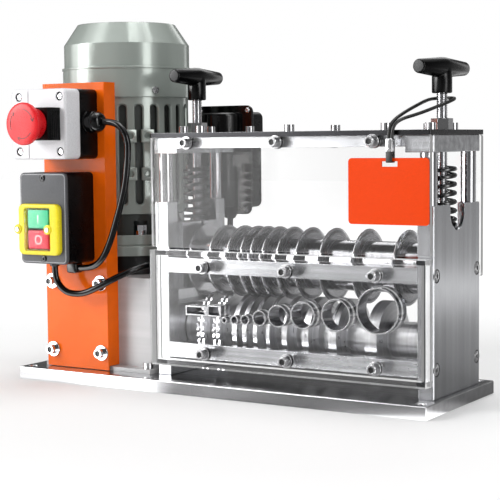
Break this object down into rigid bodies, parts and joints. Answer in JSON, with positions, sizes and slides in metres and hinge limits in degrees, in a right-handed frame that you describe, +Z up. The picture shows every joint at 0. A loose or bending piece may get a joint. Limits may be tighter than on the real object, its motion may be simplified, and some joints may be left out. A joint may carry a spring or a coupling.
{
  "type": "wire stripping machine",
  "caption": "Bench wire stripping machine: motor with worm gearbox, switch boxes on a bracket, grooved feed roller under round blades on a screw-adjusted roller, clear guards, steel base.",
  "frame": {"origin": "middle of the underside of the base plate", "axes": "+X along the base from the motor towards the roller frame, -Y towards the front with the wire guides and switches, +Z up"},
  "size_m": [0.4569, 0.259, 0.3576],
  "materials": {
    "brushed_steel": "brushed",
    "nickel": "nickel plated",
    "frame_alloy": "brushed",
    "bearing_steel": "polished",
    "plate_black": "dark, satin",
    "clear_acrylic": "clear, polished edges",
    "gearbox_alloy": "brushed",
    "adapter_black": "satin black",
    "motor_paint": "grey-green paint on cast alloy",
    "box_black": "fine texture",
    "orange_paint": "powder coat, satin",
    "cover_grey": "fine texture",
    "switch_grey": "fine texture",
    "switch_yellow": "semi gloss",
    "cable_rubber": "matt",
    "strap_rubber": "matt",
    "spring_black": "black oxide",
    "handle_black": "satin black",
    "roller_steel": "turned, satin",
    "blade_steel": "ground, satin",
    "gear_bronze": "cut bronze",
    "fan_plastic": "matt",
    "estop_red": "semi gloss",
    "start_green": "semi gloss",
    "stop_red": "semi gloss",
    "tag_orange": "matt card"
  },
  "bodies": {
    "frame": {"base_plate": "brushed_steel", "frame_screws": "nickel", "left_end_block": "frame_alloy", "right_end_block": "frame_alloy", "lower_bearing_blocks": "frame_alloy", "feed_bearings": "bearing_steel", "guide_columns": "bearing_steel", "top_frame": "frame_alloy", "top_plate": "plate_black", "top_screws": "nickel", "adjusting_nuts": "nickel", "tie_bars": "frame_alloy", "upper_guard": "clear_acrylic", "lower_guard": "clear_acrylic", "rear_guard": "clear_acrylic", "guard_screws": "nickel", "spacers": "nickel", "flat_guides": "nickel", "small_guides": "nickel", "medium_guides": "nickel", "large_guides": "nickel", "gearbox_housing": "gearbox_alloy", "motor_adapter": "adapter_black", "motor_flange": "motor_paint", "motor_body": "motor_paint", "fan_cover": "motor_paint", "motor_screws": "nickel", "capacitor_box": "box_black", "capacitor_cover": "box_black", "control_bracket": "orange_paint", "control_screws": "nickel", "estop_base": "box_black", "estop_cover": "cover_grey", "estop_collar": "box_black", "switch_body": "box_black", "switch_plate": "switch_grey", "switch_frame": "switch_yellow", "cable_glands": "box_black", "estop_cable": "cable_rubber", "motor_cable": "cable_rubber", "tag_strap": "strap_rubber", "tag_ferrule": "nickel"},
    "blade_carriage": {"upper_bearing_blocks": "frame_alloy", "carriage_bearings": "bearing_steel", "springs": "spring_black"},
    "left_lifting_screw": {"left_screw": "nickel", "left_handle": "handle_black"},
    "right_lifting_screw": {"right_screw": "nickel", "right_handle": "handle_black"},
    "blade_roller": {"blade_shaft": "roller_steel", "blades": "blade_steel"},
    "feed_drive": {"feed_roller": "roller_steel", "worm_wheel": "gear_bronze"},
    "rotor_assembly": {"motor_rotor": "roller_steel", "cooling_fan": "fan_plastic"},
    "estop_slider": {"estop_stem": "box_black"},
    "estop_knob": {"estop_head": "estop_red"},
    "start_key": {"start_button": "start_green"},
    "stop_key": {"stop_button": "stop_red"},
    "tag": {"hang_tag": "tag_orange"}
  },
  "joints": [
    {"name": "carriage_slide", "type": "slide", "parent": "frame", "child": "blade_carriage", "axis": [0, 0, 1], "range_m": [-0.006, 0.009], "deforming": ["tag_strap"]},
    {"name": "left_screw_turn", "type": "hinge", "parent": "blade_carriage", "child": "left_lifting_screw", "pos_m": [-0.0575, 0.004, 0.2], "axis": [0, 0, 1], "range_deg": [-1440, 2160]},
    {"name": "right_screw_turn", "type": "hinge", "parent": "blade_carriage", "child": "right_lifting_screw", "pos_m": [0.204, 0.004, 0.2], "axis": [0, 0, 1], "range_deg": [-1440, 2160]},
    {"name": "blade_roller_spin", "type": "hinge", "parent": "blade_carriage", "child": "blade_roller", "pos_m": [0.07, 0.004, 0.1215], "axis": [1, 0, 0], "continuous": true},
    {"name": "motor_spin", "type": "hinge", "parent": "frame", "child": "rotor_assembly", "pos_m": [-0.165, 0.034, 0.2], "axis": [0, 0, 1], "continuous": true},
    {"name": "feed_roller_spin", "type": "hinge", "parent": "frame", "child": "feed_drive", "pos_m": [0.07, 0.004, 0.056], "axis": [1, 0, 0], "continuous": true},
    {"name": "estop_press", "type": "slide", "parent": "frame", "child": "estop_slider", "axis": [0, 1, 0], "range_m": [0, 0.004]},
    {"name": "estop_twist", "type": "hinge", "parent": "estop_slider", "child": "estop_knob", "pos_m": [-0.1575, -0.13, 0.25525], "axis": [0, 1, 0], "range_deg": [0, 45], "stiffness_Nm_per_rad": 0.05},
    {"name": "start_press", "type": "slide", "parent": "frame", "child": "start_key", "axis": [0, 1, 0], "range_m": [0, 0.0025], "stiffness_N_per_m": 400},
    {"name": "stop_press", "type": "slide", "parent": "frame", "child": "stop_key", "axis": [0, 1, 0], "range_m": [0, 0.0025], "stiffness_N_per_m": 400},
    {"name": "tag_swing", "type": "hinge", "parent": "frame", "child": "tag", "pos_m": [0.183, -0.0586, 0.2195], "axis": [-1, 0, 0], "range_deg": [0, 80]}
  ],
  "couplings": [
    {"joint": "left_screw_turn", "follows": "carriage_slide", "rad_per_m": 4188.8},
    {"joint": "right_screw_turn", "follows": "carriage_slide", "rad_per_m": 4188.8},
    {"joint": "feed_roller_spin", "follows": "motor_spin", "ratio": -0.033333}
  ]
}
